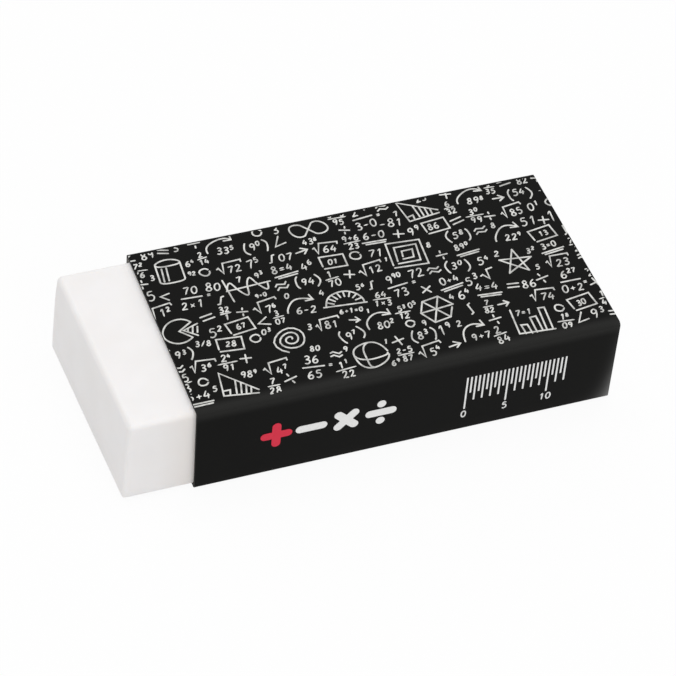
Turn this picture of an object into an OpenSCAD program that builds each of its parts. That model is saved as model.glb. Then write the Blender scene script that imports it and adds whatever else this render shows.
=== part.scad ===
// White block eraser in a folded card sleeve. All sizes are in millimetres.
// X runs along the block, with its working end at the low side. Y runs to the back, and Z is up.
// The origin lies under the middle of the whole, on the plane it rests on.

/* [Block] */
// Length of the block along its middle
block_length = 58; // [53:0.5:70]
// Width of the block, from front to back
block_width = 25; // [18:0.5:32]
// Height of the block
block_height = 11.2; // [8:0.2:16]
// Radius of the block's softened edges
edge_radius = 0.7; // [0.4:0.1:2.5]
// How far the lower edge of the working end stands out past its upper edge
end_slant = 0.5; // [0:0.1:1.5]
// How far the back edge of the working end stands out past its front edge
end_skew = 1; // [0:0.1:2]

/* [Sleeve] */
// Length of the sleeve along the block
sleeve_length = 50; // [40:0.5:52]
// Thickness of the card
card_thickness = 0.35; // [0.25:0.05:0.45]
// Outer radius of the folds along the sleeve's long edges
fold_radius = 0.55; // [0.5:0.05:1.4]
// Height of the glue flap's free edge above the sleeve's underside
flap_height = 7; // [4:0.5:7]
// Height of the back panel's cut edge above the sleeve's underside
seam_height = 1.2; // [0.4:0.1:2]
// Free space between the block and the card on each side
block_clearance = 0.1; // [0.05:0.05:0.3]
// How far the block's plain end lies inside the sleeve
end_recess = 0.4; // [0:0.1:2]

/* [Print] */
// Thickness of the ink on the card
ink_thickness = 0.04; // [0.02:0.01:0.08]
// Width of the drawn strokes on the top panel
stroke_width = 0.19; // [0.14:0.01:0.26]
// Cells of the drawn pattern along the sleeve, half of the first and of the last cut off by its ends
pattern_columns = 27; // [25:1:29]
// Cells of the drawn pattern across the sleeve, the last one cut off by the back fold
pattern_rows = 11; // [10:1:12]
// Free strip between the front fold and the drawn pattern
pattern_margin = 0.3; // [0:0.1:1]
// Part of a cell that a drawn sign fills
sign_fill = 0.7; // [0.5:0.05:0.75]
// Part of its cells that a drawn figure fills
figure_fill = 0.86; // [0.7:0.02:0.88]
// Height of a large sign on the front panel
front_sign_size = 3.7; // [2:0.1:3.9]
// Stroke width of a large sign on the front panel
front_stroke_width = 1.05; // [0.4:0.05:1.2]
// Distance between the middles of the large signs
front_sign_pitch = 4.1; // [4:0.1:4.6]
// Distance from the sleeve's open end to the first large sign's middle
front_sign_start = 9.3; // [4:0.1:10]
// Length of the ruled scale
scale_length = 12; // [5:1:15]
// Distance from the ruled scale's last line to the sleeve's plain end
scale_margin = 6.2; // [2:0.2:8]
// Width of a line of the ruled scale
scale_line_width = 0.2; // [0.12:0.02:0.3]
// Length of the longest lines of the ruled scale
scale_line_length = 5; // [2:0.2:5.4]

/* [Hidden] */

// Facets of round faces, and of the block's corner balls
$fn = 48;
corner_facets = 24;

sleeve_width = block_width + 2 * block_clearance + 3 * card_thickness;
sleeve_height = block_height + 2 * block_clearance + 2 * card_thickness;
end_reach = block_length + end_recess - sleeve_length;
overall_length = sleeve_length + end_reach + (end_slant + end_skew) / 2;
sleeve_start = overall_length / 2 - sleeve_length;
sleeve_end = overall_length / 2;
front_face = -sleeve_width / 2;
back_face = sleeve_width / 2;
block_front = front_face + card_thickness + block_clearance;
block_bottom = card_thickness + block_clearance;
block_back = block_front + block_width;
block_top = block_bottom + block_height;
scale_start = sleeve_length - scale_margin - scale_length;

// The drawn pattern is cut off by the sleeve's ends and by the back fold, so its cells reach past them
panel_width = sleeve_width - 2 * fold_radius;
cut_columns = 1;
cut_rows = 0.4;
cell_length = sleeve_length / (pattern_columns - cut_columns);
cell_width = (panel_width - pattern_margin) / (pattern_rows - cut_rows);
sign_size = sign_fill * min(cell_length, cell_width);

// Most that a sign or a figure turns, the part of a cell that a sign strays by, the part of its size that it
// grows or shrinks by, how unsteady its lines are, and how far a sharp corner's mitre may reach
sign_turn = 16;
figure_turn = 8;
sign_stray = 0.09;
sign_growth = 0.12;
hand_drift = 0.025;
sharpest_mitre = 0.6;

// Each figure's kind, the column and row of its near left cell, and the columns and rows that it takes
figure_places = [
    ["triangle", 2, 0, 3, 2], ["globe", 10, 0, 3, 2], ["bars", 20, 0, 3, 2],
    ["spiral", 6, 2, 3, 2], ["hexagon", 15, 2, 3, 2],
    ["pie", 0, 4, 3, 2], ["protractor", 10, 4, 3, 2], ["star", 21, 4, 3, 2],
    ["wave", 5, 6, 3, 2], ["nested", 15, 6, 3, 2],
    ["drum", 1, 8, 3, 2], ["loop", 10, 9, 3, 2], ["triangle", 17, 9, 3, 2],
    ["fraction", 7, 0, 2, 2], ["fraction", 24, 2, 2, 2], ["fraction", 14, 4, 2, 2],
    ["fraction", 2, 6, 2, 2], ["fraction", 14, 9, 2, 2],
    ["turn", 12, 2, 2, 2], ["turn", 22, 6, 2, 2], ["turn", 8, 4, 2, 2], ["turn", 17, 0, 2, 2],
    ["turn", 5, 9, 2, 2], ["turn", 21, 9, 2, 2],
    ["root", 5, 1, 2, 1], ["root", 14, 0, 2, 1], ["root", 1, 2, 2, 1], ["root", 22, 2, 2, 1],
    ["root", 6, 5, 2, 1], ["root", 24, 4, 2, 1], ["root", 0, 6, 2, 1], ["root", 13, 6, 2, 1],
    ["root", 5, 8, 2, 1], ["root", 23, 8, 2, 1], ["root", 9, 3, 2, 1], ["root", 11, 8, 2, 1],
    ["box", 24, 1, 2, 1], ["box", 3, 3, 2, 1], ["box", 4, 4, 2, 1],
    ["box", 11, 7, 2, 1], ["box", 24, 6, 2, 1], ["box", 18, 8, 2, 1],
    ["brackets", 14, 1, 2, 1], ["brackets", 10, 2, 2, 1], ["brackets", 18, 5, 2, 1],
    ["brackets", 9, 6, 2, 1], ["brackets", 7, 9, 2, 1], ["brackets", 24, 9, 2, 1],
    ["brackets", 0, 3, 2, 1], ["brackets", 19, 7, 2, 1],
    ["underline", 0, 0, 2, 1], ["underline", 19, 3, 2, 1], ["underline", 17, 4, 2, 1],
    ["underline", 19, 6, 2, 1], ["underline", 14, 8, 2, 1], ["underline", 24, 5, 2, 1],
    ["underline", 8, 7, 2, 1]
];

// Small helpers for directions and for points on arcs
function unit(v) = v / norm(v);
function left_of(v) = [-v[1], v[0]];
function arc(radius, from, to, steps, flatten = 1, centre = [0, 0]) = [
    for (i = [0 : steps])
        let (angle = from + (to - from) * i / steps)
            centre + radius * [cos(angle), flatten * sin(angle)]
];

// The line that runs beside a chain of points at a distance, its corners mitred and sharp ones cut back
function beside(points, distance) = [
    for (i = [0 : len(points) - 1])
        let (
            before = i > 0 ? unit(points[i] - points[i - 1]) : unit(points[1] - points[0]),
            after = i < len(points) - 1 ? unit(points[i + 1] - points[i]) : before,
            way = unit(left_of(before) + left_of(after))
        )
            points[i] + way * distance / max(way * left_of(before), sharpest_mitre)
];

function reversed(points) = [for (i = [len(points) - 1 : -1 : 0]) points[i]];

// The round end of a stroke that stops at a point, coming along a way
function round_end(point, way, width) = [
    for (angle = [35, -35])
        point + width / 2 * (cos(angle) * way + sin(angle) * left_of(way))
];

// A slow drift between -1 and 1, which differs from cell to cell as hand-drawn signs do
function drift(column, row) = sin(137 * column + 71 * row);

// A chain of points as an unsteady hand draws it, bent a little along slow waves
function by_hand(points, seed) = [
    for (point = points)
        point + hand_drift * [sin(400 * point[1] + 50 * seed), sin(330 * point[0] + 70 * seed)]
];

// The small signs, each as chains of points in a box of size 1
sign_kinds = [
    [[[-0.5, 0], [0.5, 0]], [[0, -0.5], [0, 0.5]]],
    [[[-0.5, 0.22], [0.5, 0.22]], [[-0.5, -0.22], [0.5, -0.22]]],
    [[[-0.4, -0.4], [0.4, 0.4]], [[-0.4, 0.4], [0.4, -0.4]]],
    [[[-0.6, 0], [-0.4, 0.1], [-0.15, -0.5], [0.1, 0.5], [0.6, 0.5]]],
    [[[-0.5, 0], [0.5, 0]], [[0.1, 0.35], [0.5, 0], [0.1, -0.35]]],
    [[[0.4, 0.45], [-0.45, 0], [0.4, -0.45]]],
    [[[0.35, 0.5], [-0.45, -0.4], [0.5, -0.4]]],
    [[[-0.5, 0], [0.5, 0]], [[0, 0.28], [0, 0.5]], [[0, -0.5], [0, -0.28]]],
    [arc(0.42, 20, 350, 12)],
    [[[0.25, 0.55], [0.05, 0.45], [-0.05, -0.45], [-0.25, -0.55]]],
    [
        for (lift = [-0.2, 0.2])
            [[-0.5, lift - 0.05], [-0.25, lift + 0.12], [0.25, lift - 0.12], [0.5, lift + 0.05]]
    ]
];

// Parallel lines across a shape, from a first line in equal steps
function hatching(from, to, step, count) = [
    for (i = [0 : count - 1])
        [from + i * step, to + i * step]
];

// The figures, each as chains of points in a box of height 1
function figure_lines(kind) =
    kind == "triangle" ? concat([
        [[0.5, -0.42], [-0.46, -0.42], [-0.46, 0.44], [0.5, -0.3]],
        [[-0.46, -0.24], [-0.28, -0.24], [-0.28, -0.42]]
    ], [for (x = [-0.1 : 0.13 : 0.3]) [[x, -0.4], [x, 0.1 - 0.78 * (x + 0.1)]]]) :
    kind == "globe" ? [
        arc(0.48, 8, 352, 30),
        arc(0.46, 180, 360, 14, 0.34),
        [for (angle = [90 : 15 : 270]) 0.46 * [0.38 * cos(angle), sin(angle)]]
    ] :
    kind == "bars" ? [
        [[-0.5, 0.5], [-0.5, -0.45], [0.55, -0.45]],
        [[-0.32, -0.45], [-0.32, -0.1], [-0.14, -0.1], [-0.14, -0.45]],
        [[0, -0.45], [0, 0.14], [0.18, 0.14], [0.18, -0.45]],
        [[0.3, -0.45], [0.3, 0.42], [0.48, 0.42], [0.48, -0.45]]
    ] :
    kind == "spiral" ? [
        [for (i = [0 : 44]) let (angle = i * 22) (0.05 + 0.0103 * i) * [cos(angle), sin(angle)]]
    ] :
    kind == "hexagon" ? [
        [for (i = [0 : 6]) 0.5 * [cos(60 * i), sin(60 * i)] - (i == 6 ? [0.06, 0.1] : [0, 0])],
        arc(0.5, 0, 180, 1),
        arc(0.5, 60, 240, 1),
        arc(0.5, 120, 300, 1)
    ] :
    kind == "pie" ? concat([
        arc(0.46, 40, 320, 24),
        [arc(0.46, 40, 41, 1)[0], [0, 0], arc(0.46, 320, 321, 1)[0]],
        [arc(0.46, 30, 31, 1, 1, [0.12, 0])[0], [0.12, 0], arc(0.46, 330, 331, 1, 1, [0.12, 0])[0]],
        [[0.25, -0.05], [0.25, 0.05]]
    ], hatching([0.38, -0.11], [0.38, 0.11], [0.13, 0], 2)) :
    kind == "protractor" ? concat([
        arc(0.55, 0, 180, 20, 1, [0, -0.3]),
        [[-0.62, -0.3], [0.62, -0.3]]
    ], [
        for (angle = [20 : 20 : 160])
            [for (reach = [0.34, 0.55]) reach * [cos(angle), sin(angle)] - [0, 0.3]]
    ]) :
    kind == "star" ? [
        for (i = [0 : 4])
            [for (angle = [90 + 144 * i, 234 + 144 * i]) 0.5 * [cos(angle), sin(angle)]]
    ] :
    kind == "wave" ? [
        [for (i = [0 : 30]) [i / 25 - 0.6, 0.3 * sin(i * 24)]],
        [[-0.62, -0.45], [-0.62, 0.45]],
        [[-0.62, 0], [0.68, 0]]
    ] :
    kind == "nested" ? [
        for (i = [0 : 2])
            let (s = 0.5 - 0.17 * i)
                [[-s, -s], [s, -s], [s, s], [-s, s], [-s, -s + 0.1]]
    ] :
    kind == "drum" ? concat([
        arc(0.36, 10, 350, 20, 0.36, [0, 0.34]),
        arc(0.36, 180, 360, 10, 0.36, [0, -0.34]),
        [[-0.36, 0.34], [-0.36, -0.34]],
        [[0.36, 0.34], [0.36, -0.34]]
    ], hatching([-0.24, 0.16], [-0.24, -0.36], [0.14, 0], 2)) :
    kind == "loop" ? [
        arc(0.26, 60, 300, 14, 1, [-0.3, 0]),
        arc(0.26, 120, -120, 14, 1, [0.3, 0]),
        [[-0.17, 0.225], [0.17, -0.225]],
        [[-0.17, -0.225], [0.17, 0.225]]
    ] :
    kind == "fraction" ? [
        [[-0.36, 0], [0.36, 0.03]]
    ] :
    kind == "turn" ? [
        arc(0.6, 185, 55, 12, 1, [0.08, -0.22]),
        [[0.36, 0.52], [0.42, 0.27], [0.15, 0.25]]
    ] :
    kind == "root" ? [
        [[-0.76, 0.0], [-0.66, 0.08], [-0.53, -0.4], [-0.36, 0.44], [0.7, 0.47], [0.71, 0.3]]
    ] :
    kind == "box" ? [
        [[-0.7, -0.3], [-0.72, 0.48], [0.7, 0.5], [0.72, -0.46], [-0.62, -0.48]]
    ] :
    kind == "brackets" ? [
        arc(0.7, 138, 222, 8, 1, [0, 0]),
        arc(0.7, 42, -42, 8, 1, [0, 0])
    ] : [
        [[-0.7, -0.3], [0.7, -0.26]],
        [[-0.55, -0.46], [0.6, -0.43]]
    ];

function covers(place, column, row) =
    column >= place[1] && column < place[1] + place[3] && row >= place[2] && row < place[2] + place[4];
function is_free(column, row) = len([for (place = figure_places) if (covers(place, column, row)) 1]) == 0;

// One drawn stroke along a chain of points
module stroke(points) {
    last = len(points) - 1;
    polygon(concat(
        beside(points, stroke_width / 2),
        round_end(points[last], unit(points[last] - points[last - 1]), stroke_width),
        reversed(beside(points, -stroke_width / 2)),
        round_end(points[0], unit(points[0] - points[1]), stroke_width)
    ));
}

// Ink on the top panel's flat area, with the first cell at the near left and half past the open end
module on_top_panel() {
    translate([sleeve_start, front_face + fold_radius, sleeve_height])
        linear_extrude(ink_thickness)
            intersection() {
                translate([-cut_columns / 2 * cell_length, pattern_margin])
                    union()
                        children();
                square([sleeve_length, panel_width]);
            }
}

// Ink on the front panel, drawn from the sleeve's open end and up from its underside
module on_front_panel() {
    translate([sleeve_start, front_face, 0])
        rotate([90, 0, 0])
            linear_extrude(ink_thickness)
                children();
}

// A straight bar with round ends
module round_bar(length) {
    reach = length / 2 - front_stroke_width / 2;
    square([2 * reach, front_stroke_width], center = true);
    for (side = [-1, 1])
        translate([side * reach, 0])
            circle(d = front_stroke_width);
}

module plus_sign() {
    round_bar(front_sign_size);
    rotate(90)
        round_bar(front_sign_size);
}

module divide_sign() {
    round_bar(front_sign_size);
    for (side = [-1, 1])
        translate([0, side * (front_sign_size - front_stroke_width) / 2])
            circle(d = front_stroke_width);
}

// One fold of the card, as a quarter of a ring round its own middle
module fold(middle, turn) {
    translate(middle)
        rotate(turn)
            intersection() {
                difference() {
                    circle(fold_radius);
                    circle(fold_radius - card_thickness);
                }
                square(fold_radius);
            }
}

// The card's path round the block, seen from the open end: bottom, front, top, back and the glue flap,
// which stands up inside the back panel
module card_path() {
    front_middle = front_face + fold_radius;
    back_middle = back_face - fold_radius;
    flap_middle = back_middle - card_thickness;
    top_middle = sleeve_height - fold_radius;
    translate([front_middle, 0])
        square([flap_middle - front_middle, card_thickness]);
    fold([front_middle, fold_radius], 180);
    translate([front_face, fold_radius])
        square([card_thickness, top_middle - fold_radius]);
    fold([front_middle, top_middle], 90);
    translate([front_middle, sleeve_height - card_thickness])
        square([back_middle - front_middle, card_thickness]);
    fold([back_middle, top_middle], 0);
    translate([back_face - card_thickness, seam_height])
        square([card_thickness, top_middle - seam_height]);
    fold([flap_middle, fold_radius], 270);
    translate([back_face - 2 * card_thickness, fold_radius])
        square([card_thickness, flap_height - fold_radius]);
}

// White vinyl block with softened edges, its working end cut a little out of square
module eraser() {
    color([0.95, 0.95, 0.94])
        hull()
            for (y = [block_front, block_back], z = [block_bottom, block_top]) {
                back = y == block_back ? 1 : -1;
                low = z == block_bottom ? 1 : -1;
                start = sleeve_start - end_reach - (back * end_skew + low * end_slant) / 2;
                for (x = [start + edge_radius, sleeve_end - end_recess - edge_radius])
                    translate([x, y - back * edge_radius, z + low * edge_radius])
                        sphere(edge_radius, $fn = corner_facets);
            }
}

// Black card folded round the block and glued along its back
module sleeve() {
    color([0.11, 0.11, 0.1])
        translate([sleeve_start, 0, 0])
            rotate([90, 0, 90])
                linear_extrude(sleeve_length)
                    card_path();
}

// Drawn figures of the top panel, and the lines that stand round or under its numbers
module figure_print() {
    color([0.9, 0.9, 0.88])
        on_top_panel()
            for (place = figure_places) {
                size = figure_fill * min(place[3] * cell_length, place[4] * cell_width);
                translate([(place[1] + place[3] / 2) * cell_length, (place[2] + place[4] / 2) * cell_width])
                    rotate(figure_turn * drift(place[1], place[2]))
                        for (points = figure_lines(place[0]))
                            stroke(size * by_hand(points, place[1]));
            }
}

// Small drawn signs in every other free cell of the top panel
module sign_print() {
    color([0.9, 0.9, 0.88])
        on_top_panel()
            for (column = [0 : pattern_columns - 1], row = [0 : pattern_rows - 1])
                if ((column + row) % 2 == 0 && is_free(column, row)) {
                    stray = sign_stray * [drift(column, row + 3), drift(column + 5, row)];
                    size = sign_size * (1 + sign_growth * drift(column + 2, row + 1));
                    translate([(column + 0.5 + stray[0]) * cell_length, (row + 0.5 + stray[1]) * cell_width])
                        rotate(sign_turn * drift(column, row))
                            for (points = sign_kinds[(column * 3 + row * 5) % len(sign_kinds)])
                                stroke(size * by_hand(points, column));
                }
}

// White signs and the ruled scale of the front panel
module front_print() {
    color([0.92, 0.92, 0.92])
        on_front_panel() {
            translate([front_sign_start + front_sign_pitch, sleeve_height / 2])
                round_bar(front_sign_size);
            translate([front_sign_start + 2 * front_sign_pitch, sleeve_height / 2])
                rotate(45)
                    plus_sign();
            translate([front_sign_start + 3 * front_sign_pitch, sleeve_height / 2])
                divide_sign();
            for (i = [0 : 2 * scale_length]) {
                line_length = scale_line_length * (i % 10 == 0 ? 1 : i % 2 == 0 ? 0.75 : 0.5);
                line_bottom = sleeve_height / 2 + scale_line_length / 2 - line_length;
                translate([scale_start + i / 2 - scale_line_width / 2, line_bottom])
                    square([scale_line_width, line_length]);
            }
        }
}

// Red sign at the start of the front panel's row
module accent_print() {
    color([0.84, 0.16, 0.26])
        on_front_panel()
            translate([front_sign_start, sleeve_height / 2])
                plus_sign();
}

eraser();
sleeve();
figure_print();
sign_print();
front_print();
accent_print();
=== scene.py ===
import itertools
import math
import random

import bmesh
import bpy
from mathutils import Matrix, Vector, noise


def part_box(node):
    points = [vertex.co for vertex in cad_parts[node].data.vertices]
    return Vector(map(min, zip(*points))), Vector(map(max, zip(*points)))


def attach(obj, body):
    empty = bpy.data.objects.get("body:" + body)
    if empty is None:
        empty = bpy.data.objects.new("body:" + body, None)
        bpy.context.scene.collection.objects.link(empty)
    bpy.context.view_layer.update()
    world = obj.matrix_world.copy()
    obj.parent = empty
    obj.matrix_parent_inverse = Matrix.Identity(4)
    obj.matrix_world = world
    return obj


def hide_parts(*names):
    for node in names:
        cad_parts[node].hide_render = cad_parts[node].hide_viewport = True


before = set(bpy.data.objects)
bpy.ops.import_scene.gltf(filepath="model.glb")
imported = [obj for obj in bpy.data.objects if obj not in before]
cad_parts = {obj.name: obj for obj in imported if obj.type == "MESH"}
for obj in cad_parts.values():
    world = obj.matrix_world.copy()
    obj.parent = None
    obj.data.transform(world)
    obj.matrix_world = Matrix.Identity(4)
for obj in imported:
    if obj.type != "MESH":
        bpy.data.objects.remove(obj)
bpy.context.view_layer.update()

# White block eraser in a black printed card sleeve. Lengths in the dictionaries are in millimetres,
# and the frame is in metres: X along the block, Y to the back, Z up.
mm = 0.001
seed = 11
dice = random.Random(seed)
noise.seed_set(seed)  # without a seed, vector noise differs from run to run
sleeveLow, sleeveHigh = (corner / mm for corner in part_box("sleeve"))
blockLow, blockHigh = (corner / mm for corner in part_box("eraser"))


# Camera

camera = {
    "place": (-93.47, -219.7, 243.67),
    "look": (0.2793, 0.6505, -0.7063),
    "right": (0.9396, -0.3369, 0.0613),
    "lens": 157.37,
    "sensor": 36,
    "clip": (0.01, 10),  # in metres
}


def makeCamera():
    data = bpy.data.cameras.new("camera")
    data.lens = camera["lens"]
    data.sensor_width = camera["sensor"]
    data.clip_start, data.clip_end = camera["clip"]
    look = Vector(camera["look"]).normalized()
    right = Vector(camera["right"])
    right = (right - look * right.dot(look)).normalized()
    turn = Matrix((right, right.cross(look), -look)).transposed()
    eye = bpy.data.objects.new("camera", data)
    eye.matrix_world = Matrix.Translation(Vector(camera["place"]) * mm) @ turn.to_4x4()
    bpy.context.scene.collection.objects.link(eye)
    bpy.context.scene.camera = eye


makeCamera()
print("camera placed")


# Shader sums: a Field is a socket that takes part in Python expressions

class Field:
    def __init__(self, paint, socket):
        self.paint = paint
        self.socket = socket

    def sum(self, kind, first, second=0.0):
        return self.paint.node("ShaderNodeMath", {"operation": kind}, {0: first, 1: second})

    def __add__(self, other):
        return self.sum("ADD", self, other)

    def __radd__(self, other):
        return self.sum("ADD", other, self)

    def __sub__(self, other):
        return self.sum("SUBTRACT", self, other)

    def __rsub__(self, other):
        return self.sum("SUBTRACT", other, self)

    def __mul__(self, other):
        return self.sum("MULTIPLY", self, other)

    def __rmul__(self, other):
        return self.sum("MULTIPLY", other, self)

    def __truediv__(self, other):
        return self.sum("DIVIDE", self, other)

    def __rtruediv__(self, other):
        return self.sum("DIVIDE", other, self)

    def __pow__(self, other):
        return self.sum("POWER", self, other)

    def __rpow__(self, other):
        return self.sum("POWER", other, self)

    def most(self, other):
        return self.sum("MAXIMUM", self, other)


# The node tree of one material or world
class Paint:
    def __init__(self, owner, end="ShaderNodeOutputMaterial"):
        self.owner = owner
        self.owner.use_nodes = True
        self.tree = owner.node_tree
        self.tree.nodes.clear()
        self.end = self.tree.nodes.new(end)

    def node(self, kind, settings=None, values=None, output=0):
        made = self.tree.nodes.new(kind)
        for key, value in (settings or {}).items():
            setattr(made, key, value)
        for key, value in (values or {}).items():
            if isinstance(value, Field):
                self.tree.links.new(value.socket, made.inputs[key])
            else:
                made.inputs[key].default_value = value
        return Field(self, made.outputs[output])

    def place(self):
        return self.node("ShaderNodeTexCoord", output="Object")

    def axis(self, name):
        return self.node("ShaderNodeSeparateXYZ", None, {0: self.place()}, name) * (1 / mm)

    # Soft speckle of a given grain, from 0 to 1
    def speckle(self, grain, detail=3.0, rough=0.55):
        values = {"Vector": self.place(), "Scale": 1 / (grain * mm), "Detail": detail, "Roughness": rough}
        return self.node("ShaderNodeTexNoise", {"noise_dimensions": "3D"}, values)

    # Goes from 0 to 1 as a value goes from one number to another
    def rise(self, value, start, end):
        settings = {"interpolation_type": "SMOOTHSTEP", "clamp": True}
        values = {"Value": value, "From Min": start, "From Max": end, "To Min": 0.0, "To Max": 1.0}
        return self.node("ShaderNodeMapRange", settings, values)

    def blend(self, share, first, second):
        settings = {"data_type": "RGBA", "blend_type": "MIX"}
        return self.node("ShaderNodeMix", settings, {0: share, 6: first, 7: second}, 2)

    def bump(self, height, strength, depth):
        values = {"Height": height, "Strength": strength, "Distance": depth * mm}
        return self.node("ShaderNodeBump", None, values)

    def mixed(self, share, first, second):
        return self.node("ShaderNodeMixShader", None, {0: share, 1: first, 2: second})

    def output(self, shader):
        self.tree.links.new(shader.socket, self.end.inputs["Surface"])
        return self.owner

    def finish(self, values):
        return self.output(self.node("ShaderNodeBsdfPrincipled", None, values))


def newPaint(name):
    return Paint(bpy.data.materials.new(name))


def grey(value):
    return (value, value, value, 1.0)


# Paints. A speckle is given by its grain, detail and roughness, and a bump by its strength and depth

vinylPaint = {
    "colour": (0.9, 0.883, 0.881, 1.0),
    "shade": (0.87, 0.85, 0.842, 1.0),
    # a darker, warmer colour painted as shade on the block's front face next to the sleeve
    "warmShade": (0.85, 0.815, 0.79, 1.0),
    "warmShadeReach": 5.0,  # how far from the sleeve the painted shade on the front face reaches, darker and warmer than the vinyl
    "frontReach": (0.1, 0.8),  # where behind the front face that painted shade starts to fade and ends
    "cloud": (5.0, 2.0),
    "cloudRange": (0.3, 0.7),
    "cloudShare": 0.7,
    "grain": (0.16, 4.0, 0.6),
    "grainShare": 0.2,
    "dimple": 0.8,
    "roughness": 0.5,
    "roughSpread": 0.14,
    "shine": 0.3,
    "inside": 0.25,  # share of the light that goes in and comes out again, how far it goes, and its colours
    "insideReach": 1.0,
    "insideColours": (1.0, 0.9, 0.8),
    "bumpShares": (0.7, 0.3),  # of the grain and of the dimples
    "bump": (0.35, 0.02),
}


def paintVinyl():
    paint = newPaint("white_vinyl")
    cloud = paint.rise(paint.speckle(*vinylPaint["cloud"]), *vinylPaint["cloudRange"])
    grain = paint.speckle(*vinylPaint["grain"])
    share = cloud * vinylPaint["cloudShare"] + grain * vinylPaint["grainShare"]
    # Painted shade: the front face is darker and warmer within a few millimetres of the sleeve
    shadeNearSleeve = paint.rise(paint.axis("X") - sleeveLow.x, -vinylPaint["warmShadeReach"], 0)
    onFrontFace = 1 - paint.rise(paint.axis("Y") - blockLow.y, *vinylPaint["frontReach"])
    plain = paint.blend(share, vinylPaint["colour"], vinylPaint["shade"])
    grainBump, dimpleBump = vinylPaint["bumpShares"]
    height = grain * grainBump + paint.speckle(vinylPaint["dimple"]) * dimpleBump
    return paint.finish({
        "Base Color": paint.blend(shadeNearSleeve * onFrontFace, plain, vinylPaint["warmShade"]),
        "Roughness": vinylPaint["roughness"] + grain * vinylPaint["roughSpread"],
        "Specular IOR Level": vinylPaint["shine"],
        "Subsurface Weight": vinylPaint["inside"],
        "Subsurface Radius": vinylPaint["insideColours"],
        "Subsurface Scale": vinylPaint["insideReach"] * mm,
        "Normal": paint.bump(height, *vinylPaint["bump"]),
    })


cardPaint = {
    "black": (0.0046, 0.0046, 0.0042, 1.0),
    # a lighter black painted as a highlight along the fold between the front and top panels
    "foldHighlightBlack": (0.0205, 0.0205, 0.0195, 1.0),
    # grey of the painted sheen on the front panel's lower corner at the plain end
    "cornerSheen": (0.25, 0.25, 0.246, 1.0),
    "fibre": (0.09, 5.0, 0.65),
    "cloud": (2.5, 3.0),
    # how far the painted fold highlight reaches, and how strong it is with the fibres
    "foldHighlightReach": (0.3, 1.8),
    "foldHighlightTone": 0.6,
    "foldHighlightFibre": 0.7,
    # how the painted corner sheen spreads and how strong it is
    "sheenStepIn": 0.3,
    "sheenSpread": 0.42,
    "sheenSpreadUp": 1.4,
    "sheenStepUp": 2.3,
    "sheenFront": (0.2, 0.65),  # where behind the front face the painted sheen starts to fade and ends
    "sheenTone": 0.75,
    "sheenCloud": 0.5,
    "roughness": 0.42,
    "roughSpread": 0.16,
    "shine": 0.05,
    "bump": (0.25, 0.012),
}


# Halves with each step of a value
def fade(value, step):
    return 0.5 ** (value / step)


def paintCardFace():
    paint = newPaint("black_card")
    fibre = paint.speckle(*cardPaint["fibre"])
    cloud = paint.speckle(*cardPaint["cloud"])
    height = paint.axis("Z")
    fromFront = paint.axis("Y") - sleeveLow.y
    fromEnd = sleeveHigh.x - paint.axis("X")
    fromFold = sleeveHigh.z - height + fromFront
    # Painted highlight: the card is a lighter black along the fold between the front and top panels, where
    # the curve catches the light
    foldHighlightTone = cardPaint["foldHighlightTone"] + fibre * cardPaint["foldHighlightFibre"]
    foldHighlightShare = (1 - paint.rise(fromFold, *cardPaint["foldHighlightReach"])) * foldHighlightTone
    # The front panel's lower corner at the plain end is painted lighter grey, a painted sheen where the card
    # flares and catches the light, which also lightens the bottom fold that lies in shade. The painted sheen
    # halves with each step up the end's edge and with each step in from it, and it reaches in farther near
    # the bottom
    stepIn = cardPaint["sheenStepIn"] + cardPaint["sheenSpread"] * fade(height, cardPaint["sheenSpreadUp"])
    cornerSheenFade = fade(fromEnd, stepIn) * fade(height, cardPaint["sheenStepUp"])
    sheenTone = cardPaint["sheenTone"] + cloud * cardPaint["sheenCloud"]
    paintedCornerSheen = (1 - paint.rise(fromFront, *cardPaint["sheenFront"])) * cornerSheenFade * sheenTone
    # Black with the painted fold highlight, and over it the painted corner sheen
    black = paint.blend(foldHighlightShare, cardPaint["black"], cardPaint["foldHighlightBlack"])
    return paint.finish({
        "Base Color": paint.blend(paintedCornerSheen, black, cardPaint["cornerSheen"]),
        "Roughness": cardPaint["roughness"] + fibre * cardPaint["roughSpread"],
        "Specular IOR Level": cardPaint["shine"],
        "Normal": paint.bump(fibre, *cardPaint["bump"]),
    })


boardPaint = {
    "detail": 6.0,
    "rough": 0.7,
    "range": (0.3, 0.75),
    "roughness": 0.85,
    "shine": 0.2,
    "bump": (0.5, 0.03),
}


# Bare board with light and dark fibres of a given grain
def paintBoard(name, light, dark, grain):
    paint = newPaint(name)
    fibre = paint.speckle(grain, boardPaint["detail"], boardPaint["rough"])
    return paint.finish({
        "Base Color": paint.blend(paint.rise(fibre, *boardPaint["range"]), light, dark),
        "Roughness": boardPaint["roughness"],
        "Specular IOR Level": boardPaint["shine"],
        "Normal": paint.bump(fibre, *boardPaint["bump"]),
    })


inkPaint = {
    "grain": (0.07, 4.0, 0.6),
    "grainRange": (0.5, 0.85),
    "grainShare": 0.4,
    "patchDetail": 2.0,
    "patchShare": 0.6,
    "roughness": 0.6,
    "shine": 0.25,
    "bump": (0.2, 0.01),
}


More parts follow.
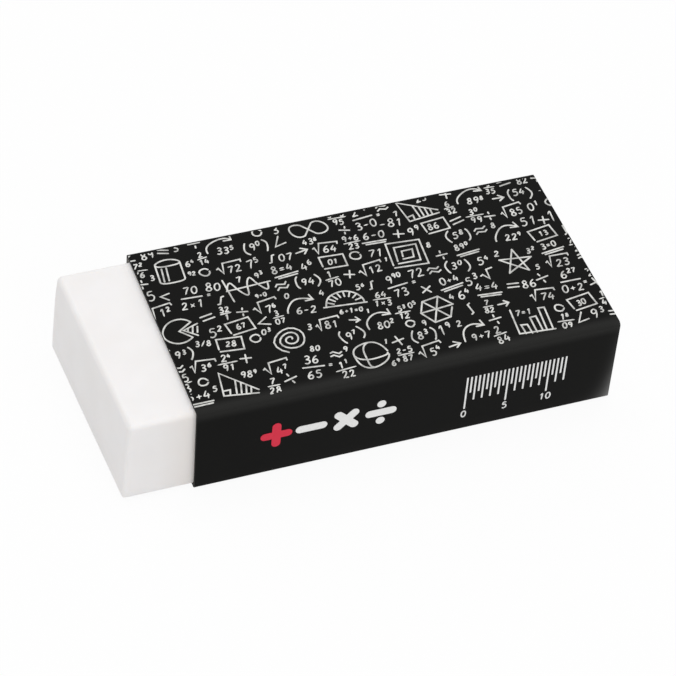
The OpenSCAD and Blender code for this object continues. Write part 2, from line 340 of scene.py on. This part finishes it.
# Ink that lies full in most places and thin in others, in spots of fine grain and in patches of a given size
def paintInk(name, full, thin, patchSize, patchRange):
    paint = newPaint(name)
    grain = paint.speckle(*inkPaint["grain"])
    spot = paint.rise(grain, *inkPaint["grainRange"])
    patch = paint.rise(paint.speckle(patchSize, inkPaint["patchDetail"]), *patchRange)
    share = spot * inkPaint["grainShare"] + patch * inkPaint["patchShare"]
    return paint.finish({
        "Base Color": paint.blend(share, full, thin),
        "Roughness": inkPaint["roughness"],
        "Specular IOR Level": inkPaint["shine"],
        "Normal": paint.bump(grain, *inkPaint["bump"]),
    })


# The light and dark colour and the grain of each board
boards = {
    "card_inside": ((0.42, 0.41, 0.38, 1.0), (0.3, 0.29, 0.27, 1.0), 0.25),
    "card_edge": ((0.03, 0.03, 0.029, 1.0), (0.012, 0.012, 0.0115, 1.0), 0.12),
}

# The full and thin colour, the size of the patches and the range they rise in of each ink
inks = {
    "white_ink": ((0.86, 0.86, 0.85, 1.0), (0.62, 0.62, 0.61, 1.0), 1.6, (0.6, 0.85)),
    "drawn_ink": ((0.76, 0.76, 0.73, 1.0), (0.265, 0.265, 0.255, 1.0), 0.9, (0.35, 0.7)),
    "red_ink": ((0.7, 0.027, 0.062, 1.0), (0.55, 0.022, 0.05, 1.0), 1.6, (0.6, 0.85)),
}

vinyl = paintVinyl()
cardFace = paintCardFace()
cardInside, cardEdge = (paintBoard(name, *board) for name, board in boards.items())
whiteInk, drawnInk, redInk = (paintInk(name, *ink) for name, ink in inks.items())
print("paints mixed")


# Turns points and faces into one piece that rides on a body. Edges sharper than the crease angle stay sharp
def makePiece(name, points, faces, paints, body, crease, faceKinds=None):
    mesh = bpy.data.meshes.new(name)
    mesh.from_pydata([point * mm for point in points], [], faces)
    for paint in paints:
        mesh.materials.append(paint)
    if faceKinds:
        mesh.polygons.foreach_set("material_index", faceKinds)
    work = bmesh.new()
    work.from_mesh(mesh)
    bmesh.ops.recalc_face_normals(work, faces=work.faces)
    work.to_mesh(mesh)
    work.free()
    mesh.polygons.foreach_set("use_smooth", [True] * len(mesh.polygons))
    mesh.set_sharp_from_angle(angle=math.radians(crease))
    mesh.update()
    piece = bpy.data.objects.new(name, mesh)
    bpy.context.scene.collection.objects.link(piece)
    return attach(piece, body)


# White block

block = {
    "length": 58,
    "radius": 0.6,
    "lowRadius": 0.35,
    "roundFrom": 0.5,  # how far from lowRadius to radius the edges have come at half the height
    "roundSteps": 6,
    "steps": (56, 26, 12),
    "skew": 1.0,  # how far the working end is out of square from front to back
    "slant": 0.5,  # and from bottom to top
    "sink": 0.05,
    "sinkPower": 4,
    "sinkRim": 1.2,
    "crown": 0.1,
    "crownPower": 8,
    "leanBack": 0.2,
    "drop": 0.06,
    "softAlong": 1.4,
    "softDown": 3.6,
    "ripple": 0.012,
    "rippleScale": 0.22,
    "crease": 60,
}


# Places of the grid lines along one side: even angles in the rounded edges, even steps between
def gridPlaces(half, steps):
    radius, rounds = block["radius"], block["roundSteps"]
    edge = [radius * (1 - math.tan(math.radians(45 * (rounds - i) / rounds))) for i in range(rounds)]
    flat = half - radius
    middle = [-flat + 2 * flat * i / steps for i in range(steps + 1)]
    return [-half + place for place in edge] + middle + [half - place for place in reversed(edge)]


def shapeBlockPoint(point, half):
    # The edges are softest at the top and nearly sharp at the bottom
    riseShare = min(1, max(0, block["roundFrom"] + point[2] / half[2]))
    radius = block["lowRadius"] + (block["radius"] - block["lowRadius"]) * riseShare
    core = Vector([max(-(h - radius), min(h - radius, value)) for value, h in zip(point, half)])
    point = core + (Vector(point) - core).normalized() * radius
    alongShare, acrossShare, upShare = (value / h for value, h in zip(point, half))
    # Flat faces sink a little in their middles, and the working end stands out a little in its own
    dish = (1 - alongShare ** block["sinkPower"]) * block["sink"]
    rim = block["sinkRim"]
    point.z -= math.copysign(dish * (1 - acrossShare ** 2), upShare) * min(1, abs(upShare) * rim)
    point.y -= math.copysign(dish * (1 - upShare ** 2), acrossShare) * min(1, abs(acrossShare) * rim)
    if alongShare < 0:
        bulge = block["crown"] * (1 - acrossShare ** 2) * (1 - upShare ** 2)
        point.x -= bulge * alongShare ** block["crownPower"]
    # The working end leans back a little under its upper edge
    fromEnd = (point.x + half[0]) / block["softAlong"]
    fromTop = (half[2] - point.z) / block["softDown"]
    soft = max(0, 1 - math.hypot(fromEnd, fromTop)) ** 2
    point += Vector((soft * block["leanBack"], 0, -soft * block["drop"]))
    # The working end is cut a little out of square
    reach = 1 + (block["skew"] * acrossShare - block["slant"] * upShare) / 2 / (2 * half[0])
    point.x = half[0] - (half[0] - point.x) * reach
    return point + noise.noise_vector(point * block["rippleScale"]) * block["ripple"]


def makeBlock():
    half = (block["length"] / 2, (blockHigh.y - blockLow.y) / 2, (blockHigh.z - blockLow.z) / 2)
    middle = (blockLow + blockHigh) / 2
    middle.x = blockHigh.x - half[0]
    lines = [gridPlaces(h, steps) for h, steps in zip(half, block["steps"])]
    last = [len(line) - 1 for line in lines]
    points, faces, known = [], [], {}

    def corner(key):
        if key not in known:
            known[key] = len(points)
            points.append(shapeBlockPoint([lines[axis][key[axis]] for axis in range(3)], half) + middle)
        return known[key]

    for axis in range(3):
        first, second = (axis + 1) % 3, (axis + 2) % 3
        for end in (0, last[axis]):
            for i in range(last[first]):
                for j in range(last[second]):
                    ring = []
                    for stepI, stepJ in ((0, 0), (1, 0), (1, 1), (0, 1)):
                        key = [0, 0, 0]
                        key[axis], key[first], key[second] = end, i + stepI, j + stepJ
                        ring.append(corner(tuple(key)))
                    faces.append(ring)
    piece = makePiece("white_block", points, faces, [vinyl], "block", block["crease"])
    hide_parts("eraser")


makeBlock()
print("block shaped")


# Card sleeve

sleeve = {
    "card": 0.35,
    "fold": 0.55,
    "foldSteps": 10,
    "flapTop": 7.0,
    "seam": 1.2,  # height of the back panel's cut edge
    "glue": 0.015,
    "lengthSteps": 50,
    "flapSteps": 5,
    "wideSteps": 14,
    "tallSteps": 8,
    "ripple": 0.006,
    "rippleScale": 0.15,
    "crease": 35,
}


# The card's path as pairs of outer and inner points, from the glue flap's free edge round to the back
# panel's cut edge
def cardPath():
    card, fold, steps = sleeve["card"], sleeve["fold"], sleeve["foldSteps"]
    front, back, top = sleeveLow.y, sleeveHigh.y, sleeveHigh.z
    flapBack = back - card - sleeve["glue"]
    pairs = []

    def run(start, end, inward, count):
        for i in range(count + 1):
            outer = Vector(start).lerp(Vector(end), i / count)
            pairs.append((outer, outer + Vector(inward) * card))

    def turn(middle, startAngle):
        for i in range(1, steps):
            angle = math.radians(startAngle - 90 * i / steps)
            way = Vector((math.cos(angle), math.sin(angle)))
            pairs.append((Vector(middle) + way * fold, Vector(middle) + way * (fold - card)))

    run((flapBack, sleeve["flapTop"]), (flapBack, fold), (-1, 0), sleeve["flapSteps"])
    turn((flapBack - fold, fold), 0)
    run((flapBack - fold, 0), (front + fold, 0), (0, 1), sleeve["wideSteps"])
    turn((front + fold, fold), -90)
    run((front, fold), (front, top - fold), (1, 0), sleeve["tallSteps"])
    turn((front + fold, top - fold), 180)
    run((front + fold, top), (back - fold, top), (0, -1), sleeve["wideSteps"])
    turn((back - fold, top - fold), 90)
    run((back, top - fold), (back, sleeve["seam"]), (-1, 0), sleeve["tallSteps"])
    return pairs


def makeSleeve():
    pairs = cardPath()
    count, steps = len(pairs), sleeve["lengthSteps"]
    paints = [cardFace, cardInside, cardEdge]
    cut = paints.index(cardEdge)
    points, faces, kinds = [], [], []
    for i in range(steps + 1):
        along = sleeveLow.x + (sleeveHigh.x - sleeveLow.x) * i / steps
        for side in (0, 1):
            for outer, inner in pairs:
                place = Vector((along, *(outer, inner)[side]))
                inward = Vector((0, *(inner - outer).normalized()))
                sag = (1 + noise.noise(place * sleeve["rippleScale"])) / 2 * sleeve["ripple"]
                points.append(place + inward * sag)

    def at(i, side, j):
        return (i * 2 + side) * count + j

    for i in range(steps):
        for side in (0, 1):
            for j in range(count - 1):
                faces.append((at(i, side, j), at(i + 1, side, j), at(i + 1, side, j + 1), at(i, side, j + 1)))
                kinds.append(side)
        for j in (0, count - 1):
            faces.append((at(i, 0, j), at(i + 1, 0, j), at(i + 1, 1, j), at(i, 1, j)))
            kinds.append(cut)
    for i in (0, steps):
        for j in range(count - 1):
            faces.append((at(i, 0, j), at(i, 0, j + 1), at(i, 1, j + 1), at(i, 1, j)))
            kinds.append(cut)
    crease = sleeve["crease"]
    piece = makePiece("card_sleeve", points, faces, paints, "sleeve", crease, kinds)
    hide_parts("sleeve")


makeSleeve()
print("sleeve folded")


# Print

prints = {"figure_print": drawnInk, "sign_print": drawnInk, "front_print": whiteInk, "accent_print": redInk}
for name, ink in prints.items():
    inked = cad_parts[name].data
    inked.materials.clear()
    inked.materials.append(ink)

# Each numeral and sign as chains of points in a box 0.6 wide and 1 high, as a hand writes them
numerals = {
    "0": [[(0.34, 1), (0.1, 0.82), (0.02, 0.45), (0.12, 0.1), (0.3, 0), (0.5, 0.18), (0.56, 0.58),
           (0.46, 0.9), (0.3, 0.97)]],
    "1": [[(0.12, 0.76), (0.34, 1), (0.31, 0.5), (0.28, 0)]],
    "2": [[(0.06, 0.78), (0.24, 0.99), (0.48, 0.88), (0.44, 0.6), (0.2, 0.26), (0.02, 0.03),
           (0.3, 0.05), (0.6, 0.02)]],
    "3": [[(0.08, 0.9), (0.32, 1), (0.5, 0.8), (0.38, 0.6), (0.22, 0.54), (0.46, 0.44), (0.54, 0.2),
           (0.34, 0), (0.05, 0.08)]],
    "4": [[(0.3, 1), (0.14, 0.66), (0.03, 0.36), (0.3, 0.36), (0.58, 0.38)],
          [(0.44, 0.66), (0.41, 0.3), (0.38, 0)]],
    "5": [[(0.52, 0.97), (0.15, 0.95), (0.11, 0.6), (0.34, 0.62), (0.53, 0.38), (0.42, 0.08),
           (0.2, 0), (0.03, 0.1)]],
    "6": [[(0.46, 0.98), (0.2, 0.76), (0.05, 0.36), (0.14, 0.06), (0.36, 0.01), (0.53, 0.22),
           (0.42, 0.47), (0.22, 0.46), (0.09, 0.27)]],
    "7": [[(0.03, 0.93), (0.3, 0.96), (0.56, 0.95), (0.36, 0.5), (0.2, 0)]],
    "8": [[(0.5, 0.84), (0.3, 1), (0.1, 0.82), (0.22, 0.58), (0.46, 0.38), (0.52, 0.16), (0.3, 0),
           (0.06, 0.16), (0.16, 0.42), (0.42, 0.62), (0.49, 0.78)]],
    "9": [[(0.5, 0.74), (0.36, 0.98), (0.12, 0.86), (0.1, 0.6), (0.3, 0.5), (0.48, 0.68),
           (0.5, 0.84), (0.46, 0.4), (0.34, 0)]],
    "+": [[(0.3, 0.75), (0.3, 0.2)], [(0.04, 0.47), (0.56, 0.49)]],
    "-": [[(0.06, 0.46), (0.54, 0.49)]],
    "x": [[(0.08, 0.72), (0.5, 0.22)], [(0.5, 0.72), (0.1, 0.22)]],
    "=": [[(0.05, 0.6), (0.56, 0.62)], [(0.05, 0.34), (0.56, 0.36)]],
    "/": [[(0.52, 1.02), (0.08, -0.06)]],
}


# A smooth curve through a chain of points
def smooth(chain, steps=3):
    if len(chain) < 3:
        return [chain[0].lerp(chain[-1], i / steps) for i in range(steps + 1)]
    ends = [chain[0] * 2 - chain[1], *chain, chain[-1] * 2 - chain[-2]]
    curve = []
    for a, b, c, d in zip(ends, ends[1:], ends[2:], ends[3:]):
        for t in (i / steps for i in range(steps)):
            bend = (2 * a - 5 * b + 4 * c - d) * t ** 2 + (3 * b - a - 3 * c + d) * t ** 3
            curve.append(b + ((c - a) * t + bend) / 2)
    return curve + [chain[-1]]


# How many cells strokes keep clear of other ink, how far and in how many ways they may move for it, and the
# share of them that may still touch
spacing = {"cell": 0.15, "clear": 2, "moves": (0.15, 0.3, 0.45, 0.6), "ways": 8, "touch": 0.02}

# How thick the ink is, and what share of that a stroke has at its start and gains to its end; how blunt the
# tips are; and how much the width varies, and over what length
pen = {
    "ink": 0.04,
    "startInk": 0.8,
    "moreInk": 0.3,
    "bluntness": 0.16,
    "press": 0.14,
    "pressScale": 1.3,
    "crease": 50,
}


# Gathers inked strokes as thin closed ribbons on one flat panel
class InkSheet:
    def __init__(self, onCard, high):
        self.onCard = onCard
        self.high = Vector(high)
        self.points = []
        self.faces = []
        self.inked = set()
        turns = [2 * math.pi * i / spacing["ways"] for i in range(spacing["ways"])]
        ways = [Vector((math.cos(turn), math.sin(turn))) for turn in turns]
        self.moves = [Vector((0, 0))] + [way * far for far in spacing["moves"] for way in ways]
        near = range(-spacing["clear"], spacing["clear"] + 1)
        self.round = list(itertools.product(near, near))

    def cell(self, point):
        return int(point.x // spacing["cell"]), int(point.y // spacing["cell"])

    # Notes that ink lies at a point and close round it
    def noteInk(self, point):
        column, row = self.cell(point)
        self.inked.update((column + i, row + j) for i, j in self.round)

    # Notes the ink of a CAD node whose strokes are no wider than two cells
    def noteNode(self, node, toPanel):
        corners = [toPanel(vertex.co / mm) for vertex in node.data.vertices]
        for edge in node.data.edges:
            start, end = (corners[i] for i in edge.vertices)
            count = 1 + int((end - start).length / spacing["cell"])
            for i in range(count + 1):
                self.noteInk(start.lerp(end, i / count))

    # Inks chains of points turned round a middle, and moved a little where that keeps them clear of other
    # ink. Says whether they found a place
    def put(self, chains, middle, turn, width):
        turnBy = Matrix.Rotation(math.radians(turn), 2)
        chains = [[turnBy @ mark + middle for mark in chain] for chain in chains]
        marks = [mark for chain in chains for mark in chain]

        def touching(move):
            return sum(self.cell(mark + move) in self.inked for mark in marks)

        move = min(self.moves, key=touching)
        if touching(move) > spacing["touch"] * len(marks):
            return False
        for mark in marks:
            self.noteInk(mark + move)
        for chain in chains:
            for part in self.partsOnPanel([mark + move for mark in chain], width):
                self.stroke(part, width)
        return True

    # The parts of a chain that lie on the panel, because its edges cut the print off
    def partsOnPanel(self, chain, width):
        parts = [[]]
        for point in chain:
            if min(point.x, point.y, self.high.x - point.x, self.high.y - point.y) > width / 2:
                parts[-1].append(point)
            else:
                parts.append([])
        return [part for part in parts if len(part) > 1]

    # A ribbon with blunt tips, as rings of four corners round the chain
    def stroke(self, chain, width):
        last = len(chain) - 1
        run = [0.0]
        for a, b in zip(chain, chain[1:]):
            run.append(run[-1] + (b - a).length)
        start = len(self.points)
        for i, point in enumerate(chain):
            way = (chain[min(i + 1, last)] - chain[max(i - 1, 0)]).normalized()
            fromTip = min(run[i], run[-1] - run[i], width / 2)
            tip = math.sqrt(max(pen["bluntness"], 1 - (1 - 2 * fromTip / width) ** 2))
            press = 1 + pen["press"] * noise.noise(Vector((point.x, point.y, 0)) * pen["pressScale"])
            left = Vector((-way.y, way.x)) * width / 2 * tip * press
            lift = pen["ink"] * (pen["startInk"] + pen["moreInk"] * i / last)
            ring = ((point + left, 0), (point + left, lift), (point - left, lift), (point - left, 0))
            self.points += [self.onCard(spot, height) for spot, height in ring]
        corners = len(ring)
        for i in range(last):
            for j in range(corners):
                a, b = start + i * corners + j, start + i * corners + (j + 1) % corners
                self.faces.append((a, b, b + corners, a + corners))
        for end in (start, start + last * corners):
            self.faces.append(tuple(end + j for j in range(corners)))

    def finish(self, name, ink):
        return makePiece(name, self.points, self.faces, [ink], "sleeve", pen["crease"])


# How a word's marks stand: the step from one to the next, how much smaller and higher what follows a ^
# stands, and how much size and height vary; and the room, reach and rise of the bar between two words
hand = {
    "lean": 0.12,
    "step": 0.8,
    "gap": 0.2,
    "raised": 0.62,
    "raisedLift": 0.05,
    "sizes": (-0.08, 0.06),
    "lifts": (-0.04, 0.06),
    "barRoom": 0.24,
    "barReach": 0.4,
    "barRise": (-0.03, 0.01, 0.02, 0.04),
}


# Chains of points for the marks of a word, written from left to right round the origin. Type that is set
# and not written by hand neither leans nor varies
def writeWord(marks, height, lean=hand["lean"], vary=1):
    middle = 0.5  # of a mark's height
    places, along, size, lift = [], 0, 1, -middle
    for mark in marks:
        if mark == "^":
            size, lift = hand["raised"], hand["raisedLift"]
        else:
            places.append((mark, along, size, lift))
            along += hand["step"] * size
    chains = []
    for mark, start, size, lift in places:
        tall = height * size * (1 + vary * dice.uniform(*hand["sizes"]))
        rise = lift + vary * dice.uniform(*hand["lifts"])
        shift = Vector((start - (along - hand["gap"]) / 2, rise)) * height
        for chain in numerals[mark]:
            chains.append(smooth([Vector((x + lean * (y - middle), y)) * tall + shift for x, y in chain]))
    return chains


# One word over another with a bar between
def writeStack(over, under, height):
    step = Vector((0, height / 2 + hand["barRoom"]))
    chains = [[mark + step for mark in chain] for chain in writeWord(over, height)]
    chains += [[mark - step for mark in chain] for chain in writeWord(under, height)]
    reach = hand["barReach"] * height * max(len(over), len(under))
    bar = zip((-reach, -reach / 3, reach / 3, reach), hand["barRise"])
    return chains + [smooth([Vector(mark) for mark in bar])]


# The top panel's grid and how many of its cells the edges cut off; the heights of lone and of stacked words;
# the shares of stacks and of bare cells; and how words shrink from try to try, grow, stray and turn
pattern = {
    "columns": 27,
    "rows": 11,
    "cutColumns": 1,
    "cutRows": 0.4,
    "margin": 0.3,
    "stroke": 0.165,
    "number": 1.42,
    "stacked": 1.0,
    "stackShare": 0.4,
    "bareShare": 0.1,
    "tries": 8,
    "shrink": 0.95,
    "growth": 0.12,
    "stray": 0.14,
    "turn": 7,
    "figureTurn": 8,
}

# Kind, near left cell, and cells taken, of each figure of the card's own print
figures = [
    ("triangle", 2, 0, 3, 2), ("globe", 10, 0, 3, 2), ("bars", 20, 0, 3, 2), ("spiral", 6, 2, 3, 2),
    ("hexagon", 15, 2, 3, 2), ("pie", 0, 4, 3, 2), ("protractor", 10, 4, 3, 2), ("star", 21, 4, 3, 2),
    ("wave", 5, 6, 3, 2), ("nested", 15, 6, 3, 2), ("drum", 1, 8, 3, 2), ("loop", 10, 9, 3, 2),
    ("triangle", 17, 9, 3, 2),
    ("fraction", 7, 0, 2, 2), ("fraction", 24, 2, 2, 2), ("fraction", 14, 4, 2, 2),
    ("fraction", 2, 6, 2, 2), ("fraction", 14, 9, 2, 2),
    ("turn", 12, 2, 2, 2), ("turn", 22, 6, 2, 2), ("turn", 8, 4, 2, 2), ("turn", 17, 0, 2, 2),
    ("turn", 5, 9, 2, 2), ("turn", 21, 9, 2, 2),
    ("root", 5, 1, 2, 1), ("root", 14, 0, 2, 1), ("root", 1, 2, 2, 1), ("root", 22, 2, 2, 1),
    ("root", 6, 5, 2, 1), ("root", 24, 4, 2, 1), ("root", 0, 6, 2, 1), ("root", 13, 6, 2, 1),
    ("root", 5, 8, 2, 1), ("root", 23, 8, 2, 1), ("root", 9, 3, 2, 1), ("root", 11, 8, 2, 1),
    ("box", 24, 1, 2, 1), ("box", 3, 3, 2, 1), ("box", 4, 4, 2, 1),
    ("box", 11, 7, 2, 1), ("box", 24, 6, 2, 1), ("box", 18, 8, 2, 1),
    ("brackets", 14, 1, 2, 1), ("brackets", 10, 2, 2, 1), ("brackets", 18, 5, 2, 1),
    ("brackets", 9, 6, 2, 1), ("brackets", 7, 9, 2, 1), ("brackets", 24, 9, 2, 1),
    ("brackets", 0, 3, 2, 1), ("brackets", 19, 7, 2, 1),
    ("underline", 0, 0, 2, 1), ("underline", 19, 3, 2, 1), ("underline", 17, 4, 2, 1),
    ("underline", 19, 6, 2, 1), ("underline", 14, 8, 2, 1), ("underline", 24, 5, 2, 1),
    ("underline", 8, 7, 2, 1),
]

# What stands in or by the figures of each kind: place from the middle, height, and the words to choose from.
# In the words, n stands for any numeral and s for any sign
fillings = {
    "triangle": [((1.3, 1.15), 0.9, ("nsn", "nn^n")), ((-2.35, 0), 0.85, ("n",))],
    "globe": [((2.35, 1.6), 0.85, ("n",)), ((-2.35, 1.6), 0.85, ("n",)), ((2.3, -1.6), 0.8, ("n^n",))],
    "bars": [((-0.9, 0.95), 0.85, ("nn", "n=n")), ((0.4, 1.5), 0.8, ("nn",))],
    "spiral": [((2.4, 1.65), 0.85, ("n",)), ((-2.4, 1.65), 0.85, ("n^n",)), ((2.3, -1.7), 0.8, ("nn",))],
    "hexagon": [((2.45, 1.5), 0.85, ("n",)), ((-2.35, 1.6), 0.8, ("n^n",)), ((-2.4, -1.6), 0.8, ("n",))],
    "pie": [((-2.3, 1.7), 0.8, ("n",)), ((2.2, 1.65), 0.85, ("nn",)), ((2.2, -1.65), 0.8, ("n/n",))],
    "protractor": [((-2.1, 1.25), 0.85, ("n",)), ((2.1, 1.25), 0.85, ("n^n",)),
                   ((0, -1.78), 0.78, ("nsn=n",))],
    "star": [((2, 1.5), 0.85, ("n^n",)), ((-2, 1.5), 0.85, ("n",)), ((2.3, -1.1), 0.8, ("n",))],
    "wave": [((1.8, 1.25), 0.85, ("n^n",)), ((-0.6, 1.3), 0.85, ("n",)), ((0.5, -1.5), 0.85, ("nsn",))],
    "nested": [((2.5, 1), 0.8, ("n",)), ((-2.5, -0.4), 0.8, ("n",))],
    "drum": [((2.15, 0.75), 0.85, ("n^n",)), ((-2.1, -0.5), 0.85, ("n",)), ((2.1, -0.9), 0.8, ("nn",))],
    "loop": [((0, 1.6), 0.9, ("nsn", "nn^n")), ((0, -1.6), 0.9, ("nn^n", "nsn"))],
    "turn": [((0.35, -0.7), 1.0, ("nsn", "nn^n")), ((-1.3, 1.4), 0.85, ("n",))],
    "fraction": [((0, 0.98), 1.15, ("nsn", "n^nn", "nn")), ((0, -0.98), 1.15, ("nn", "nsn", "n^n")),
                 ((1.62, 0), 0.85, ("=",))],
    "root": [((0.38, -0.05), 1.1, ("nn", "n^n", "nn"))],
    "box": [((0, 0), 1.05, ("nn", "n^n", "nn"))],
    "brackets": [((0, 0), 1.1, ("nn", "n^n"))],
    "underline": [((0, 0.3), 1.15, ("nsn", "nn^n", "n=n"))],
}
loneWords = ("nsn", "nn", "n^n", "nn^n", "n/n", "-nn")
stackWords = (("nn", "n"), ("nsn", "nn"), ("n^n", "nn"), ("n", "nn"), ("nn", "nsn"))


driftTurns = (137, 71)  # degrees from one column and one row to the next
drawn = {"n": "123456789023", "s": "+-x=+"}  # what n and s may be; what stands there twice comes more often


# A number from -1 to 1 for each cell, the same as in the card's own print
def drift(column, row):
    return math.sin(math.radians(driftTurns[0] * column + driftTurns[1] * row))


# Draws the numerals and signs of a word such as nsn
def word(kind):
    return "".join(dice.choice(drawn.get(mark, mark)) for mark in kind)


# Places of spots on the top panel, and back again; then of spots on the front panel
def onTop(spot, height):
    return Vector((sleeveLow.x + spot.x, sleeveLow.y + sleeve["fold"] + spot.y, sleeveHigh.z + height))


def fromTop(place):
    return Vector((place.x - sleeveLow.x, place.y - sleeveLow.y - sleeve["fold"]))


def onFront(spot, height):
    return Vector((sleeveLow.x + spot.x, sleeveLow.y - height, spot.y))


# Writes the labels of the figures first, and then lone words and stacks in the free cells, each a little
# smaller with every try until it finds a place
def writeTop():
    length = sleeveHigh.x - sleeveLow.x
    width = sleeveHigh.y - sleeveLow.y - 2 * sleeve["fold"]
    cellX = length / (pattern["columns"] - pattern["cutColumns"])
    cellY = (width - pattern["margin"]) / (pattern["rows"] - pattern["cutRows"])
    sheet = InkSheet(onTop, (length, width))

    def place(column, row):
        return Vector(((column - pattern["cutColumns"] / 2) * cellX, row * cellY + pattern["margin"]))

    for name in ("figure_print", "sign_print"):
        sheet.noteNode(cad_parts[name], fromTop)
    taken = set()
    for kind, column, row, columns, rows in figures:
        taken |= {(column + i, row + j) for i in range(columns) for j in range(rows)}
        turn = pattern["figureTurn"] * drift(column, row)
        turnBy = Matrix.Rotation(math.radians(turn), 2)
        for shift, height, choices in fillings.get(kind, []):
            middle = place(column + columns / 2, row + rows / 2) + turnBy @ Vector(shift)
            for attempt in range(pattern["tries"]):
                label = writeWord(word(dice.choice(choices)), height * pattern["shrink"] ** attempt)
                if sheet.put(label, middle, turn, pattern["stroke"]):
                    break
    for column, row in itertools.product(range(pattern["columns"]), range(pattern["rows"])):
        if (column + row) % 2 == 0 or (column, row) in taken or dice.random() < pattern["bareShare"]:
            continue
        stray = Vector((drift(column, row + 3), drift(column + 5, row))) * pattern["stray"]
        middle = place(column + 0.5 + stray.x, row + 0.5 + stray.y)
        turn = pattern["turn"] * drift(column, row)
        for attempt in range(pattern["tries"]):
            growth = (1 + pattern["growth"] * drift(column + 2, row + 1)) * pattern["shrink"] ** attempt
            if dice.random() < pattern["stackShare"]:
                over, under = (word(kind) for kind in dice.choice(stackWords))
                chains = writeStack(over, under, pattern["stacked"] * growth)
            else:
                chains = writeWord(word(dice.choice(loneWords)), pattern["number"] * growth)
            if sheet.put(chains, middle, turn, pattern["stroke"]):
                break
    sheet.finish("number_print", drawnInk)


writeTop()

scale = {"start": 31.8, "step": 5, "count": 3, "height": 0.95, "middle": 2.72, "stroke": 0.16}


# The numbers under the long lines of the ruled scale
def writeScale():
    sheet = InkSheet(onFront, (sleeveHigh.x - sleeveLow.x, sleeveHigh.z))
    for i in range(scale["count"]):
        middle = Vector((scale["start"] + i * scale["step"], scale["middle"]))
        number = writeWord(str(i * scale["step"]), scale["height"], lean=0, vary=0)
        sheet.put(number, middle, 0, scale["stroke"])
    sheet.finish("scale_numbers", whiteInk)


writeScale()
print("print drawn")


# Stage

stage = {
    "floor": 3.0,  # in metres
    "floorDrop": 0.02,
    "floorColour": 0.9,
    "glow": 0.93,  # how white the floor looks, as against how it is lit
    "world": 0.7,
}


# Share of the rays that see a white surround: from the camera, from gloss and through clear things
def seenShare(paint):
    kinds = ("Is Camera Ray", "Is Glossy Ray", "Is Transmission Ray")
    straight, glossy, through = (paint.node("ShaderNodeLightPath", output=kind) for kind in kinds)
    return straight.most(glossy).most(through)


# The floor takes the shadow, and is clear from below
def makeFloor():
    half = stage["floor"] / 2
    mesh = bpy.data.meshes.new("floor")
    corners = [(-half, -half, 0), (half, -half, 0), (half, half, 0), (-half, half, 0)]
    mesh.from_pydata(corners, [], [(0, 1, 2, 3)])
    floor = bpy.data.objects.new("floor", mesh)
    floor.location.z = -stage["floorDrop"] * mm
    bpy.context.scene.collection.objects.link(floor)
    paint = newPaint("floor")
    cloth = paint.node("ShaderNodeBsdfDiffuse", None, {"Color": grey(stage["floorColour"])})
    glow = paint.node("ShaderNodeEmission", None, {"Color": grey(1.0), "Strength": 1.0})
    clear = paint.node("ShaderNodeBsdfTransparent")
    seen = paint.mixed(seenShare(paint) * stage["glow"], cloth, glow)
    under = paint.node("ShaderNodeNewGeometry", output="Backfacing")
    mesh.materials.append(paint.output(paint.mixed(under, seen, clear)))


def makeWorld():
    world = bpy.data.worlds.new("studio")
    bpy.context.scene.world = world
    paint = Paint(world, "ShaderNodeOutputWorld")
    light = paint.node("ShaderNodeBackground", None, {"Color": grey(1.0), "Strength": stage["world"]})
    white = paint.node("ShaderNodeBackground", None, {"Color": grey(1.0), "Strength": 1.0})
    paint.output(paint.mixed(seenShare(paint), light, white))


# Soft boxes: where each stands and its size, in metres, and its power in watts
lamps = {
    "overhead": ((0, 0.05, 0.6), 0.5, 1.05),
    "front": ((0.15, -0.45, 0.42), 0.3, 0.48),
}


def makeLamps():
    for name, (place, size, power) in lamps.items():
        data = bpy.data.lights.new(name, "AREA")
        data.size = size
        data.energy = power
        lamp = bpy.data.objects.new(name, data)
        lamp.location = place
        lamp.rotation_mode = "QUATERNION"
        lamp.rotation_quaternion = (-Vector(place)).to_track_quat("-Z", "Y")
        bpy.context.scene.collection.objects.link(lamp)


makeFloor()
makeWorld()
makeLamps()
bpy.context.scene.view_settings.view_transform = "Standard"
print("stage lit")
